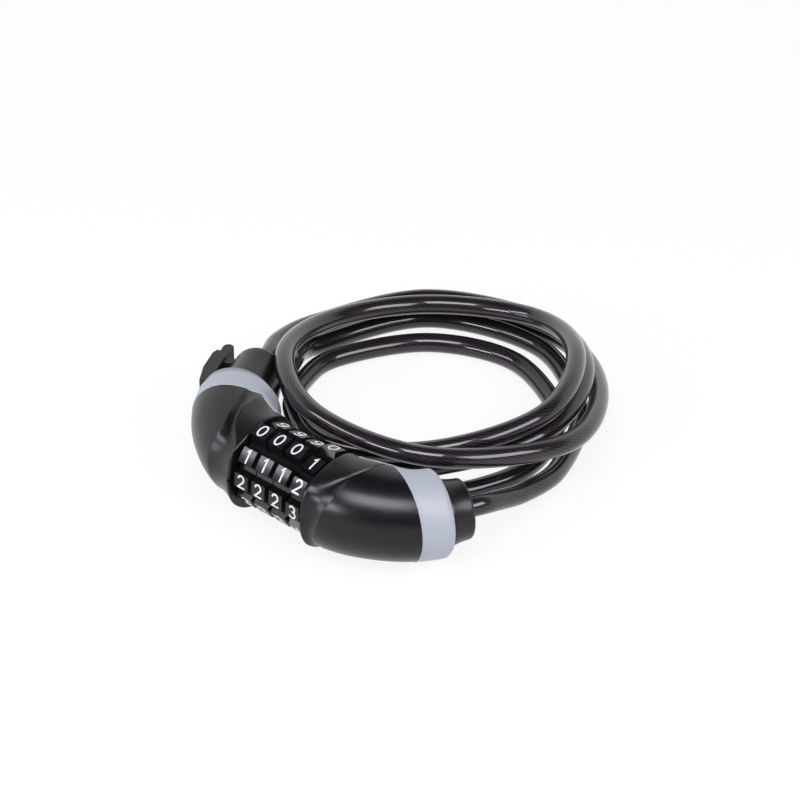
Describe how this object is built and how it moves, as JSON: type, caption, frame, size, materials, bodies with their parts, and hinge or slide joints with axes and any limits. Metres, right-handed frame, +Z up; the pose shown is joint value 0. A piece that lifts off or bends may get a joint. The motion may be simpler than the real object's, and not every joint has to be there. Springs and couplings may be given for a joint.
{
  "type": "combination cable lock",
  "caption": "Combination cable lock: a coiled plastic-covered steel cable whose toothed bolt end pulls out of a stack of numbered dials when the code lines up",
  "frame": {"origin": "Middle of the lock head (housings, dials, cable boot and bracket shoe, without the cable) in X and Y, on the surface it lies on", "axes": "+X along the dial axis from the half that holds the dials to the half with the bolt, +Y from the dials back toward the coil, +Z up"},
  "size_m": [0.1571, 0.184, 0.0365],
  "materials": {
    "housing_black": "satin moulded ABS, near black",
    "band_grey": "satin light bluish grey plastic",
    "boot_black": "soft satin black plastic",
    "shoe_black": "fine-grained black plastic",
    "dial_black": "glossy black with white digits",
    "steel": "plated steel",
    "brass": "machined brass",
    "spring_bronze": "rolled bronze strip",
    "cable_cover": "smoke-tinted clear vinyl over twisted steel wire"
  },
  "bodies": {
    "dial_half": {"left_housing": "housing_black", "left_band": "band_grey", "left_trim_ring": "band_grey", "cable_boot": "boot_black", "left_ferrule": "steel", "left_roll_pin": "steel", "core_tube": "steel", "wave_washer": "steel", "spacer_washers": "steel", "stack_retainer": "steel", "detent_spring": "spring_bronze", "bracket_shoe": "shoe_black", "cable_coil": "cable_cover", "cable_lead": "cable_cover"},
    "dial_body_1": {"dial_1": "dial_black", "code_ring_1": "brass"},
    "dial_body_2": {"dial_2": "dial_black", "code_ring_2": "brass"},
    "dial_body_3": {"dial_3": "dial_black", "code_ring_3": "brass"},
    "dial_body_4": {"dial_4": "dial_black", "code_ring_4": "brass"},
    "bolt_half": {"right_housing": "housing_black", "right_band": "band_grey", "right_trim_ring": "boot_black", "cable_collar": "boot_black", "right_ferrule": "steel", "right_roll_pin": "steel", "locking_bolt": "steel"}
  },
  "joints": [
    {"name": "dial_1_turn", "type": "hinge", "parent": "dial_half", "child": "dial_body_1", "pos_m": [-0.0058, -0.0156, 0.0185], "axis": [1, 0, 0], "continuous": true, "deforming": ["detent_spring"]},
    {"name": "dial_2_turn", "type": "hinge", "parent": "dial_half", "child": "dial_body_2", "pos_m": [0.0032, -0.0156, 0.0185], "axis": [1, 0, 0], "continuous": true, "deforming": ["detent_spring"]},
    {"name": "dial_3_turn", "type": "hinge", "parent": "dial_half", "child": "dial_body_3", "pos_m": [0.0122, -0.0156, 0.0185], "axis": [1, 0, 0], "continuous": true, "deforming": ["detent_spring"]},
    {"name": "dial_4_turn", "type": "hinge", "parent": "dial_half", "child": "dial_body_4", "pos_m": [0.0212, -0.0156, 0.0185], "axis": [1, 0, 0], "continuous": true, "deforming": ["detent_spring"]},
    {"name": "bolt_slide", "type": "slide", "parent": "dial_half", "child": "bolt_half", "axis": [1, 0, 0], "range_m": [0, 0.048], "deforming": ["cable_lead"]}
  ]
}
